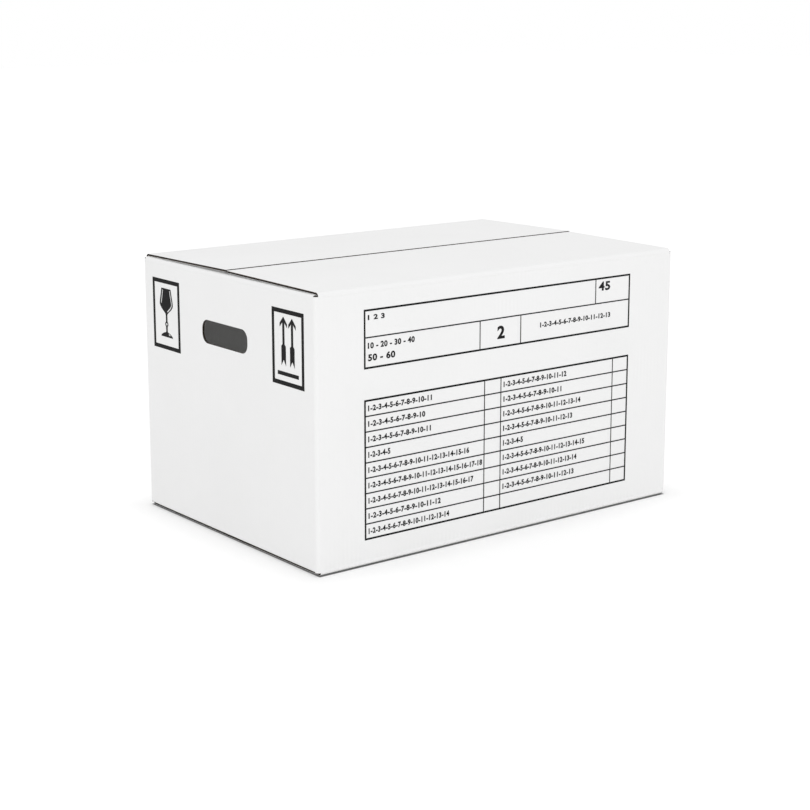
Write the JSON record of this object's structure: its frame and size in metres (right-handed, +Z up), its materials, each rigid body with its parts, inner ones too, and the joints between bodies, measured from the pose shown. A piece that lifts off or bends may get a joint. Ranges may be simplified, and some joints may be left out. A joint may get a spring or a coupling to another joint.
{
  "type": "corrugated cardboard storage box",
  "caption": "White corrugated board carton with two hinged outer top flaps, hand holes in both ends, a ruled contents form and handling marks.",
  "frame": {"origin": "centre of the carton's outline on the surface that it stands on", "axes": "+X along the long panels, +Y from the printed long panel to the rear one, +Z up"},
  "size_m": [0.6002, 0.4002, 0.3525],
  "materials": {
    "board": "matt white lined corrugated board",
    "ink": "flat printed black ink"
  },
  "bodies": {
    "carton": {"carton_sheet": "board", "header_form": "ink", "list_form": "ink", "glass_mark_frame": "ink", "glass_mark": "ink", "arrow_mark_frame": "ink", "arrow_mark_left": "ink", "arrow_mark_right": "ink", "arrow_mark_bar": "ink"},
    "front_flap": {"front_top_flap": "board"},
    "rear_flap": {"rear_top_flap": "board"}
  },
  "joints": [
    {"name": "front_flap_fold", "type": "hinge", "parent": "carton", "child": "front_flap", "pos_m": [0, -0.2, 0.35], "axis": [1, 0, 0], "range_deg": [0, 260]},
    {"name": "rear_flap_fold", "type": "hinge", "parent": "carton", "child": "rear_flap", "pos_m": [0, 0.2, 0.35], "axis": [-1, 0, 0], "range_deg": [0, 260]}
  ]
}
